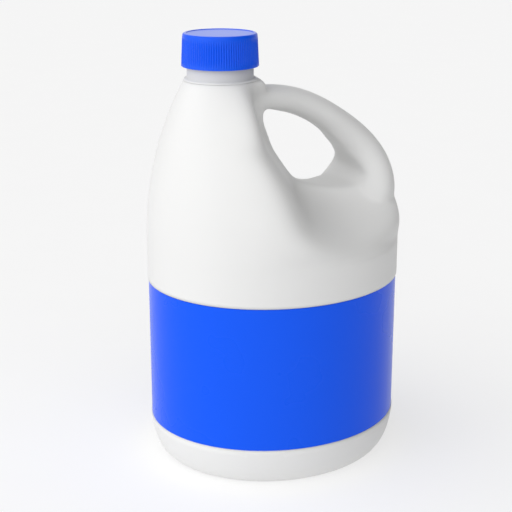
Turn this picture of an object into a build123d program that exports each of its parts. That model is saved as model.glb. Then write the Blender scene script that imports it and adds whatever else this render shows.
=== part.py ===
from build123d import *
from math import cos, radians, sin, sqrt
import os

# Two-litre household bleach bottle. Millimetres, +Z up, origin at the centre of the base,
# +X towards the handle. The bottle is symmetric about the plane Y = 0, where its mould parts.

# ---- Driving dimensions -------------------------------------------------------------------
# Body: an oval with its long axis along X
body_length = 141.2
body_width = 127.2
wall = 1.1

# Base
base_corner_in = 11.0  # how far the bottom corner turns in
base_corner_height = 25.0
push_up = 6.0  # height of the hollow under the base
push_up_slope = 16.0  # how far in the hollow's side runs
standing_ring = 5.0  # width of the ring that the bottle stands on
base_trim = 0.3  # the ring is turned this much too low and cut off flat

# Label panel: a shallow recess that shields the label's edges
panel_bottom = 21.6
panel_height = 79.3
panel_depth = 0.7

# Shoulder: straight above the panel, then one arc in to the neck
straight_top = 120.0
shoulder_start = 124.0
neck_base = 211.0
neck_offset = 32.0  # the neck stands off centre, away from the handle
collar_radius = 18.8

# Neck finish
neck_radius = 17.4
neck_wall = 1.9
land_height = 232.0  # the top rim that the liner seals on
thread_pitch = 4.233
thread_turns = 1.3
thread_depth = 1.1
thread_root = 2.2
thread_crest = 1.0
thread_start = 8.0  # from the land down to the lowest end of the thread
thread_clearance = 0.4  # between the two threads' crests and the wall opposite

# Handle: a hollow loop inside the body's outline
handle_crown = 205.3
handle_foot = 140.0  # where its outer curve runs into the side of the body
handle_back = 5.0  # the crown lies this far behind the body's centre
web_half_width = 8.5

# Label
label_thickness = 0.25
label_margin = 0.4

# Cap and liner
cap_foot = 217.2
cap_height = 17.0
cap_foot_radius = 20.2
cap_top_radius = 19.4
cap_rim_round = 1.3
cap_panel_depth = 0.3
cap_panel_margin = 2.2
liner_thickness = 1.0
liner_clearance = 0.4

# Joining
overlap = 0.5  # how far pieces of one moulding reach into each other

# ---- Worked out from these ------------------------------------------------------------------
half_length = body_length / 2
half_width = body_width / 2
panel_top = panel_bottom + panel_height
shoulder_rise = neck_base - shoulder_start
shoulder_in = half_length - neck_offset - collar_radius
shoulder_radius = (shoulder_rise**2 + shoulder_in**2) / (2 * shoulder_in)
handle_reach = half_length + handle_back
handle_rise = handle_crown - handle_foot

# Height, ridge angle, then how far back and how fully pinched the waist and the hip are, and the tip
pinch_stations = [
    (straight_top, 90, 20, 0, 50, 0, half_length),
    (128, 98, 20, 0.12, 50, 0.03, half_length - 0.4),
    (138, 104, 18, 0.5, 50, 0.22, half_length - 1.5),
    (149, 108, 14, 1, 50, 0.7, half_length - 1.5),
    (160, 110.3, 4, 1, 46, 1, 65.5),
    (170, 112.4, -4, 1, 34, 1, 55),
    (185, 110.5, -12, 1, -2, 1, 10),
    (200, 101, -15, 1, -9, 1, -5),
    (207, 94, -17, 0.55, -11, 0.5, -9.5),
    (
        neck_base,
        90,
        collar_radius * cos(radians(60)) - neck_offset,
        0,
        collar_radius * cos(radians(30)) - neck_offset,
        0,
        collar_radius - neck_offset,
    ),
]

# How far the handle's outer curve has turned from its crown, how deep it is sunk in the body,
# and its section's depth and half width
grip_stations = [
    (-20, 0, 13, 6),
    (-6, 0.2, 13.5, 8.5),
    (10, 0.3, 14.5, 10),
    (28, 1.6, 15.7, 11),
    (46, 1, 18.5, 12),
    (62, -1.8, 24, 16),
    (76, -2.3, 31, 25),
    (90, 0.4, 38, 31),
    (104, 4, 44, 36),
]

# The finger hole's rim in the plane Y = 0, from its top corner down the grip and back along the web
hole_outline = [
    (-8, 193.5),
    (6, 189.6),
    (20, 184.1),
    (36.6, 171.8),
    (45, 161.8),
    (49, 154.5),
    (46.8, 150.2),
    (38, 148),
    (25, 149),
    (10, 154.5),
    (-2.5, 170),
    (-9, 185),
]


def shoulder_oval(z):
    """Centre and half axes of the oval section of the shoulder at height z."""
    up = max(z - shoulder_start, 0)
    share = (shoulder_radius - sqrt(shoulder_radius**2 - up**2)) / shoulder_in
    return (
        -neck_offset * share,
        half_length + (collar_radius - half_length) * share,
        half_width + (collar_radius - half_width) * share,
    )


def pinched_oval(z, ridge_angle, waist_x, waist_share, hip_x, hip_share, tip, inset):
    """The bottle's section at height z: an oval in front, pinched in from both sides behind the ridge."""
    centre, long_half, short_half = shoulder_oval(z)

    def side(x, share):
        oval = short_half * sqrt(max(1 - ((x - centre) / long_half) ** 2, 0))
        return oval + (web_half_width - oval) * share - inset

    def front(angle):
        return (
            centre + (long_half - inset) * cos(radians(angle)),
            (short_half - inset) * sin(radians(angle)),
        )

    outline = [
        (tip - inset, 0),
        (hip_x, side(hip_x, hip_share)),
        (waist_x, side(waist_x, waist_share)),
        front(ridge_angle),
        front((ridge_angle * 2 + 180) / 3),
        front((ridge_angle + 360) / 3),
    ]
    mirrored = [(x, -y) for x, y in reversed(outline[1:])]
    with BuildSketch(Plane.XY.offset(z)) as section:
        with BuildLine():
            Spline(*outline, front(180), *mirrored, periodic=True)
        make_face()
    return section.sketch


def handle_section(turn, sunk, depth, half_side, inset):
    """Oval section of the handle, where its outer curve has turned this far from the crown."""
    outer = Vector(
        handle_reach * sin(radians(turn)) - handle_back,
        0,
        handle_foot + handle_rise * cos(radians(turn)),
    )
    inwards = Vector(-sin(radians(turn)) * handle_rise, 0, -cos(radians(turn)) * handle_reach).normalized()
    along = Vector(inwards.Z, 0, -inwards.X)
    middle = outer + inwards * (sunk + depth / 2)
    with BuildSketch(Plane(middle, x_dir=inwards, z_dir=along)) as section:
        Ellipse(depth / 2 - inset, half_side - inset)
    return section.sketch


def lower_body(inset):
    """Base and recessed label panel, turned round and pressed to the oval."""
    top = panel_top + inset + overlap
    floor = inset - base_trim
    side = half_length - inset
    corner = half_length - base_corner_in
    ring = corner - standing_ring
    crown = ring - push_up_slope
    with BuildPart() as body:
        with BuildSketch(Plane.XZ):
            with BuildLine():
                Line((0, push_up + inset), (crown, push_up + inset))
                Spline((crown, push_up + inset), (ring, floor), tangents=((1, 0), (1, 0)))
                Line((ring, floor), (corner, floor))
                EllipticalCenterArc(
                    (corner, base_corner_height),
                    base_corner_in - inset,
                    base_corner_height - floor,
                    270,
                    arc_size=90,
                )
                Polyline((side, base_corner_height), (side, top), (0, top), (0, push_up + inset))
            make_face()
        revolve(axis=Axis.Z)
        with BuildSketch(Plane.XZ):
            with Locations((side, panel_bottom - inset)):
                Rectangle(2 * panel_depth, top, align=(Align.CENTER, Align.MIN))
        revolve(axis=Axis.Z, mode=Mode.SUBTRACT)
        scale(by=(1, (half_width - inset) / side, 1))
        with Locations((0, 0, inset)):
            Box(
                body_length,
                body_length,
                base_corner_height,
                align=(Align.CENTER, Align.CENTER, Align.MAX),
                mode=Mode.SUBTRACT,
            )
    return body.part


def shoulder(inset):
    """The straight wall above the panel and the tall shoulder, pinched in to clear the hand."""
    with BuildPart() as body:
        for height, *shape in pinch_stations:
            add(pinched_oval(height, *shape, inset))
        loft()
        add(pinched_oval(*pinch_stations[0], inset))
        extrude(amount=panel_top + inset - straight_top)
    return body.part


def handle_loop(inset):
    """The grip, from the crown down into the side of the body."""
    with BuildPart() as body:
        for station in grip_stations:
            add(handle_section(*station, inset))
        loft()
    return body.part


def finger_hole(grown):
    """The hole through the handle, moved outwards all round by the amount it is grown."""
    rim = [Vector(*place) for place in hole_outline]
    grown_rim = []
    for before, place, after in zip(rim[-1:] + rim[:-1], rim, rim[1:] + rim[:1]):
        along = (after - before).normalized()
        grown_rim.append(place + Vector(-along.Y, along.X) * grown)
    with BuildPart() as body:
        with BuildSketch(Plane.XZ):
            with BuildLine():
                Spline(*grown_rim, periodic=True)
            make_face()
        extrude(amount=body_width, both=True)
    return body.part


def ring(low, high, outer, inner):
    """A round band about the neck's axis."""
    with BuildPart() as body:
        with BuildSketch(Plane.XY.offset(low)):
            with Locations((-neck_offset, 0)):
                Circle(outer)
                Circle(inner, mode=Mode.SUBTRACT)
        extrude(amount=high - low)
    return body.part


def thread(low, root_radius, crest_radius, start_angle):
    """A single-start right-hand thread of trapezoid section, from its lower end up."""
    with BuildPart() as body:
        with BuildLine(Plane((-neck_offset, 0, low)).rotated((0, 0, start_angle))) as path:
            Helix(thread_pitch, thread_pitch * thread_turns, root_radius)
        outwards = (path.line @ 0 - Vector(-neck_offset, 0, low)).normalized()
        height = crest_radius - root_radius
        with BuildSketch(Plane(path.line @ 0, x_dir=outwards, z_dir=path.line % 0)):
            with BuildLine():
                Polyline(
                    (0, -thread_root / 2),
                    (height, -thread_crest / 2),
                    (height, thread_crest / 2),
                    (0, thread_root / 2),
                    close=True,
                )
            make_face()
        sweep(path=path.line, is_frenet=True)
    return body.part


# ---- Bottle: one blow-moulded shell, its handle hollow and open to the body -----------------
def moulding(inset):
    """The bottle's outside, or its inside when inset by the wall."""
    return shoulder(inset) + handle_loop(inset) + lower_body(inset) - finger_hole(inset)


bore_radius = neck_radius - neck_wall
above_neck = Pos(0, 0, neck_base - wall) * Box(
    body_length, body_width, neck_base, align=(Align.CENTER, Align.CENTER, Align.MIN)
)
shell = moulding(0) - (moulding(wall) - above_neck)
neck_bore = Pos(-neck_offset, 0, neck_base) * Cylinder(bore_radius, 6 * wall)
neck = ring(neck_base - overlap, land_height, neck_radius, bore_radius) + thread(
    land_height - thread_start, neck_radius - overlap, neck_radius + thread_depth, 0
)
with BuildPart() as bottle:
    add(shell - neck_bore + neck)

# ---- Label: a film sleeve that lies in the recess --------------------------------------------
panel_half_length = half_length - panel_depth
with BuildPart() as label:
    with BuildSketch(Plane.XZ):
        with Locations((panel_half_length, panel_bottom + label_margin)):
            Rectangle(
                label_thickness, panel_height - 2 * label_margin, align=(Align.MIN, Align.MIN)
            )
    revolve(axis=Axis.Z)
    scale(by=(1, half_width / half_length, 1))

# ---- Liner: a foam wad that seals on the neck's top rim --------------------------------------
liner_radius = neck_radius - liner_clearance
with BuildPart() as liner:
    with BuildSketch(Plane.XY.offset(land_height)):
        with Locations((-neck_offset, 0)):
            Circle(liner_radius)
    extrude(amount=liner_thickness)

# ---- Cap: a screw cap with a tapered skirt ---------------------------------------------------
cap_top = cap_foot + cap_height
cap_ceiling = land_height + liner_thickness
cap_bore = neck_radius + thread_depth + thread_clearance
cap_thread = thread(
    land_height - thread_start - thread_pitch / 2, cap_bore + overlap, neck_radius + thread_clearance, 0
)
with BuildPart() as cap:
    with BuildSketch(Plane.XY.offset(cap_foot)):
        with Locations((-neck_offset, 0)):
            Circle(cap_foot_radius)
    with BuildSketch(Plane.XY.offset(cap_top)):
        with Locations((-neck_offset, 0)):
            Circle(cap_top_radius)
    loft()
    fillet(cap.edges().group_by(Axis.Z)[-1], cap_rim_round)
    with BuildSketch(Plane.XY.offset(cap_top)):
        with Locations((-neck_offset, 0)):
            Circle(cap_top_radius - cap_panel_margin)
    extrude(amount=-cap_panel_depth, mode=Mode.SUBTRACT)
    with BuildSketch(Plane.XY.offset(cap_foot)):
        with Locations((-neck_offset, 0)):
            Circle(cap_bore)
    extrude(amount=cap_ceiling - cap_foot, mode=Mode.SUBTRACT)
    add(cap_thread)

os.makedirs("parts", exist_ok=True)
for piece, name in ((bottle, "bottle"), (label, "label"), (liner, "liner"), (cap, "cap")):
    piece.part.label = name
    export_step(piece.part, f"parts/{name}.step")
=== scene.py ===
import bmesh
import bpy
from math import cos, pi, radians, sin, tau
from mathutils import Matrix, Vector


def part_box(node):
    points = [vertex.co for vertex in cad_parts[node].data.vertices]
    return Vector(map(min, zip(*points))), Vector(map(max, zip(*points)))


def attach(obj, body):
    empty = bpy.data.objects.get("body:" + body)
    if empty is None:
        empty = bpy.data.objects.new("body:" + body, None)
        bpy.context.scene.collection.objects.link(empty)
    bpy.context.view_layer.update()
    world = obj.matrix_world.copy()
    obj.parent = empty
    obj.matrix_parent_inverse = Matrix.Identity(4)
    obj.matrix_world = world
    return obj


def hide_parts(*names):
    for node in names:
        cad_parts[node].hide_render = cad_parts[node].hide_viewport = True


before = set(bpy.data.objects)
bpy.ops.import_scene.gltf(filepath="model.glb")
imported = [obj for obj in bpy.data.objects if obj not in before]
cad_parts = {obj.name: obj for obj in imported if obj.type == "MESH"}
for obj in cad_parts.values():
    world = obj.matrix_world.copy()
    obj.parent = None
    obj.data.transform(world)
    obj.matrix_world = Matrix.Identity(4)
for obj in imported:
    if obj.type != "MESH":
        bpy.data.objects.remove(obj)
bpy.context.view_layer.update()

# ---- Camera: a short telephoto view from a little above, with the handle turned to the right
# and away. It looks at a point near the top of the label.
camera_turn = radians(28.9)
camera_tilt = radians(17.07)
camera_distance = 0.6726
camera_target = Vector((-0.0108, 0, 0.1109))
view_direction = Vector(
    (sin(camera_turn) * cos(camera_tilt), cos(camera_turn) * cos(camera_tilt), -sin(camera_tilt))
)
camera_data = bpy.data.cameras.new("camera")
camera_data.lens = 85.8
camera_data.sensor_width = 36
camera = bpy.data.objects.new("camera", camera_data)
camera.location = camera_target - camera_distance * view_direction
camera.rotation_euler = (radians(90) - camera_tilt, 0, -camera_turn)
bpy.context.scene.collection.objects.link(camera)
bpy.context.scene.camera = camera
bpy.context.scene.view_settings.view_transform = "Standard"

# ---- Studio: a pale seamless floor under a soft sky that is bright on the left and dims to the
# right, with one tall soft box on the left for the highlight. The camera sees a plain pale page.
page_white = (0.93, 0.93, 0.93, 1)
sky_towards = Vector((-0.83, -0.25, 0.5))
sky_dim, sky_bright = 0.04, 1.62


def light(name, place, aim, size, power):
    data = bpy.data.lights.new(name, "AREA")
    data.shape = "RECTANGLE"
    data.size, data.size_y = size
    data.energy = power
    lamp = bpy.data.objects.new(name, data)
    lamp.location = place
    lamp.rotation_euler = (Vector(aim) - Vector(place)).to_track_quat("-Z", "Y").to_euler()
    bpy.context.scene.collection.objects.link(lamp)


light("soft_box", (-0.95, -0.12, 0.35), (0, 0, 0.12), (0.25, 0.8), 0.9)

world = bpy.data.worlds.new("studio")
bpy.context.scene.world = world
world.use_nodes = True
nodes, links = world.node_tree.nodes, world.node_tree.links
nodes.clear()
place = nodes.new("ShaderNodeTexCoord")
towards = nodes.new("ShaderNodeVectorMath")
towards.operation = "DOT_PRODUCT"
towards.inputs[1].default_value = sky_towards.normalized()
links.new(place.outputs["Generated"], towards.inputs[0])
brightness = nodes.new("ShaderNodeMapRange")
brightness.interpolation_type = "SMOOTHSTEP"
brightness.inputs["From Min"].default_value = -0.2
brightness.inputs["From Max"].default_value = 0.9
brightness.inputs["To Min"].default_value = sky_dim
brightness.inputs["To Max"].default_value = sky_bright
links.new(towards.outputs["Value"], brightness.inputs["Value"])
sky = nodes.new("ShaderNodeBackground")
sky.inputs["Color"].default_value = (1, 1, 1, 1)
links.new(brightness.outputs["Result"], sky.inputs["Strength"])
page = nodes.new("ShaderNodeBackground")
page.inputs["Color"].default_value = page_white
page.inputs["Strength"].default_value = 1
path = nodes.new("ShaderNodeLightPath")
pick = nodes.new("ShaderNodeMixShader")
behind = nodes.new("ShaderNodeVectorMath")
behind.operation = "DOT_PRODUCT"
behind.inputs[1].default_value = (view_direction.x, view_direction.y, 0)
links.new(place.outputs["Generated"], behind.inputs[0])
wall = nodes.new("ShaderNodeMapRange")
wall.inputs["From Min"].default_value = 0.3
wall.inputs["From Max"].default_value = 0.8
links.new(behind.outputs["Value"], wall.inputs["Value"])
mirrored = nodes.new("ShaderNodeMath")
mirrored.operation = "MULTIPLY"
links.new(path.outputs["Is Glossy Ray"], mirrored.inputs[0])
links.new(wall.outputs["Result"], mirrored.inputs[1])
shown = nodes.new("ShaderNodeMath")
shown.operation = "MAXIMUM"
links.new(path.outputs["Is Camera Ray"], shown.inputs[0])
links.new(mirrored.outputs[0], shown.inputs[1])
links.new(shown.outputs[0], pick.inputs["Fac"])
links.new(sky.outputs[0], pick.inputs[1])
links.new(page.outputs[0], pick.inputs[2])
output = nodes.new("ShaderNodeOutputWorld")
links.new(pick.outputs[0], output.inputs["Surface"])

floor_mesh = bpy.data.meshes.new("floor")
floor_mesh.from_pydata([(-3, -3, 0), (3, -3, 0), (3, 3, 0), (-3, 3, 0)], [], [(0, 1, 2, 3)])
floor = bpy.data.objects.new("floor", floor_mesh)
bpy.context.scene.collection.objects.link(floor)


def plastic(name, colour, roughness, shine, round_edges=0.0, grain=0.0004, grain_depth=0.05):
    """A moulded plastic: faintly uneven tint and gloss, the fine skin of its mould, soft edges."""
    material = bpy.data.materials.new(name)
    material.use_nodes = True
    nodes, links = material.node_tree.nodes, material.node_tree.links
    shader = nodes["Principled BSDF"]
    shader.inputs["Specular IOR Level"].default_value = shine
    place = nodes.new("ShaderNodeTexCoord")
    cloud = nodes.new("ShaderNodeTexNoise")
    cloud.inputs["Scale"].default_value = 18
    cloud.inputs["Detail"].default_value = 3
    links.new(place.outputs["Object"], cloud.inputs["Vector"])
    tint = nodes.new("ShaderNodeMix")
    tint.data_type = "RGBA"
    tint.inputs["A"].default_value = (*colour, 1)
    tint.inputs["B"].default_value = (*(c * 0.97 for c in colour), 1)
    links.new(cloud.outputs["Fac"], tint.inputs["Factor"])
    links.new(tint.outputs["Result"], shader.inputs["Base Color"])
    gloss = nodes.new("ShaderNodeMapRange")
    gloss.inputs["To Min"].default_value = roughness - 0.04
    gloss.inputs["To Max"].default_value = roughness + 0.04
    links.new(cloud.outputs["Fac"], gloss.inputs["Value"])
    links.new(gloss.outputs["Result"], shader.inputs["Roughness"])
    skin = nodes.new("ShaderNodeTexNoise")
    skin.inputs["Scale"].default_value = 1 / grain
    links.new(place.outputs["Object"], skin.inputs["Vector"])
    bump = nodes.new("ShaderNodeBump")
    bump.inputs["Strength"].default_value = grain_depth
    bump.inputs["Distance"].default_value = 0.0001
    links.new(skin.outputs["Fac"], bump.inputs["Height"])
    if round_edges:
        edge = nodes.new("ShaderNodeBevel")
        edge.samples = 12
        edge.inputs["Radius"].default_value = round_edges
        links.new(edge.outputs["Normal"], bump.inputs["Normal"])
    links.new(bump.outputs["Normal"], shader.inputs["Normal"])
    return material


def finish(node, material):
    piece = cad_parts[node]
    piece.data.materials.clear()
    piece.data.materials.append(material)
    piece.data.shade_smooth()


floor_paper = plastic("floor_paper", (0.4, 0.4, 0.4), 0.9, 0.0)
floor_paper.node_tree.nodes["Principled BSDF"].inputs["Emission Color"].default_value = page_white
floor_paper.node_tree.nodes["Principled BSDF"].inputs["Emission Strength"].default_value = 0.62
floor.data.materials.append(floor_paper)

# ---- Bottle: one blow moulding of white polyethylene, with a satin skin from its mould. Its
# handle is hollow, and blowing leaves every edge of the shoulder and the finger hole soft.
mm = 0.001
cad_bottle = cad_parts["bottle"]
bottle_low, bottle_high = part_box("bottle")
label_low, label_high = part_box("label")
liner_low, liner_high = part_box("liner")
cap_low, cap_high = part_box("cap")
cap_axis = Vector(((cap_low[0] + cap_high[0]) / 2, (cap_low[1] + cap_high[1]) / 2, 0))
panel_top = label_high[2] + 0.45 * mm
collar = liner_low[2] - 21.5 * mm
lip_height = 4 * mm
voxel = 1.25 * mm
soft_rounds = 5
rim_rounds = 26
hole_middle = Vector((16 * mm, 0, 170 * mm))
hole_reach = 52 * mm


def merged_copy(source):
    """The CAD mesh with its doubled vertices joined."""
    bm = bmesh.new()
    bm.from_mesh(source.data)
    bmesh.ops.remove_doubles(bm, verts=bm.verts, dist=1e-6)
    return bm


def cut(bm, height, keep_above):
    """Keep what lies above or below a level plane."""
    bmesh.ops.bisect_plane(
        bm,
        geom=bm.verts[:] + bm.edges[:] + bm.faces[:],
        plane_co=(0, 0, height),
        plane_no=(0, 0, -1 if keep_above else 1),
        clear_outer=True,
    )


def keep_piece_with(bm, seed):
    """Drop every face that isn't joined to the seed face."""
    joined, front = {seed}, [seed]
    while front:
        for edge in front.pop().edges:
            for face in edge.link_faces:
                if face not in joined:
                    joined.add(face)
                    front.append(face)
    bmesh.ops.delete(bm, geom=[face for face in bm.faces if face not in joined], context="FACES")


def linked(name, bm):
    mesh = bpy.data.meshes.new(name)
    bm.to_mesh(mesh)
    bm.free()
    piece = bpy.data.objects.new(name, mesh)
    bpy.context.scene.collection.objects.link(piece)
    return piece


def applied(piece):
    """Bake a piece's modifiers into its mesh."""
    shape = piece.evaluated_get(bpy.context.evaluated_depsgraph_get())
    mesh = bpy.data.meshes.new_from_object(shape)
    piece.modifiers.clear()
    piece.data = mesh


bm = merged_copy(cad_bottle)
cut(bm, panel_top, True)
cut(bm, collar, False)
keep_piece_with(bm, min(bm.faces, key=lambda face: face.calc_center_median().x))
for height in (panel_top, collar):
    rim = [
        edge for edge in bm.edges if edge.is_boundary and abs(edge.verts[0].co.z - height) < 0.1 * mm
    ]
    bmesh.ops.triangle_fill(bm, edges=rim, use_beauty=True)
bmesh.ops.recalc_face_normals(bm, faces=bm.faces)
skin = linked("bottle_skin", bm)
blown = skin.modifiers.new("blown", "REMESH")
blown.mode = "VOXEL"
blown.voxel_size = voxel
applied(skin)
soft = skin.vertex_groups.new(name="soft")
for vert in skin.data.vertices:
    near = 1 - (vert.co - hole_middle).length / hole_reach
    soft.add([vert.index], max(0, min(1, 3 * near)), "REPLACE")
settle = skin.modifiers.new("settle", "SMOOTH")
settle.factor = 0.5
settle.iterations = soft_rounds
rounder = skin.modifiers.new("rounder", "SMOOTH")
rounder.factor = 0.5
rounder.iterations = rim_rounds
rounder.vertex_group = "soft"
applied(skin)

bm = merged_copy(cad_bottle)
cut(bm, collar - 0.4 * mm, True)
neck = linked("bottle_neck", bm)
bm = merged_copy(cad_bottle)
cut(bm, panel_top + lip_height, False)
keep_piece_with(bm, min(bm.faces, key=lambda face: face.calc_center_median().x))
base = linked("bottle_base", bm)
polyethylene = plastic("white_polyethylene", (0.70, 0.70, 0.695), 0.42, 0.2)
for piece in (skin, neck, base):
    piece.data.materials.clear()
    piece.data.materials.append(polyethylene)
    piece.data.shade_smooth()
    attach(piece, "bottle")
neck.data.set_sharp_from_angle(angle=radians(40))
base.data.set_sharp_from_angle(angle=radians(40))
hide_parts("bottle")

# ---- Label: a plain blue film wrapped round the recessed panel and glued to it.
finish("label", plastic("blue_film", (0.003, 0.088, 0.80), 0.28, 0.14))

# ---- Liner: a white foam wad that seals the cap on the neck.
finish("liner", plastic("foam", (0.78, 0.78, 0.76), 0.7, 0.2, 0.0, 0.0008, 0.4))

# ---- Cap: one injection moulding of blue polypropylene, screwed on the neck. Fine ribs run
# down its skirt, its rim is rounded and its top is dished by a hair.
low, high = cap_low, cap_high
foot_radius = (high[0] - low[0]) / 2
top_radius = foot_radius - 0.8 * mm
rim = 1.3 * mm
dish = 0.3 * mm
bore = 18.9 * mm
rib_count = 96
rib_steps = 6
rib_depth = 0.42 * mm
rib_foot, rib_head = low[2] + 1.2 * mm, high[2] - 2.6 * mm


def lathe(bm, profile, steps):
    """Turn a closed profile of (radius, height) points about the cap's axis."""
    corners = [bm.verts.new(cap_axis + Vector((r, 0, z))) for r, z in profile]
    edges = [bm.edges.new(pair) for pair in zip(corners, corners[1:])]
    bmesh.ops.spin(
        bm,
        geom=corners + edges,
        cent=cap_axis,
        axis=(0, 0, 1),
        angle=tau,
        steps=steps,
        use_merge=True,
    )


skirt_drop = top_radius - foot_radius
skirt_height = high[2] - low[2]


def skirt(z):
    return foot_radius + skirt_drop * (z - low[2]) / skirt_height


profile = [(0, liner_high[2]), (bore, liner_high[2]), (bore, low[2]), (foot_radius - 0.25 * mm, low[2])]
profile.append((foot_radius, low[2] + 0.25 * mm))
levels = 8
for level in range(levels + 1):
    z = rib_foot - 0.3 * mm + (rib_head - rib_foot + 0.6 * mm) * level / levels
    profile.append((skirt(z), z))
for turn in range(0, 91, 15):
    profile.append(
        (top_radius - rim * (1 - cos(radians(turn))), high[2] - rim * (1 - sin(radians(turn))))
    )
profile += [
    (top_radius - 2.1 * mm, high[2]),
    (top_radius - 2.3 * mm, high[2] - dish),
    (0, high[2] - dish),
]
bm = bmesh.new()
lathe(bm, profile, rib_count * rib_steps)
bmesh.ops.remove_doubles(bm, verts=bm.verts, dist=1e-7)
for vert in bm.verts:
    arm = vert.co - cap_axis
    arm.z = 0
    if arm.length > bore + 0.3 * mm and rib_foot < vert.co.z < rib_head:
        around = Vector((arm.x, arm.y)).angle_signed(Vector((1, 0)))
        groove = rib_depth * (0.5 - 0.5 * cos(rib_count * around)) ** 1.5
        vert.co -= arm.normalized() * groove

pitch = 4.233 * mm
turns = 1.3
thread_steps = 96
land = liner_low[2]
thread_low = land - 8 * mm - pitch / 2
crest = 17.8 * mm
section = [
    (bore + 0.3 * mm, -1.1 * mm),
    (crest, -0.5 * mm),
    (crest, 0.5 * mm),
    (bore + 0.3 * mm, 1.1 * mm),
]
corners = [bm.verts.new(cap_axis + Vector((r, 0, thread_low + z))) for r, z in section]
end = bm.faces.new(corners)
bmesh.ops.spin(
    bm,
    geom=[end],
    cent=cap_axis,
    axis=(0, 0, 1),
    dvec=(0, 0, pitch * turns / thread_steps),
    angle=tau * turns,
    steps=thread_steps,
)
bmesh.ops.recalc_face_normals(bm, faces=bm.faces)
cap_mesh = bpy.data.meshes.new("cap_ribbed")
bm.to_mesh(cap_mesh)
bm.free()
cap_piece = bpy.data.objects.new("cap_ribbed", cap_mesh)
bpy.context.scene.collection.objects.link(cap_piece)
cap_piece.data.shade_smooth()
cap_piece.data.set_sharp_from_angle(angle=radians(35))
cap_piece.data.materials.append(plastic("blue_polypropylene", (0.003, 0.085, 0.76), 0.32, 0.18))
# The cap's top disc gets a second material: a lighter blue that is a painted highlight for the sky's
# reflection on the top, with a glossier finish as well.
cap_piece.data.materials.append(plastic("blue_glossy_top_painted_highlight", (0.10, 0.20, 0.90), 0.3, 0.9))
for face in cap_piece.data.polygons:
    if face.normal.z > 0.9 and face.center.z > high[2] - 1.5 * dish:
        face.material_index = 1
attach(cap_piece, "cap")
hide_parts("cap")
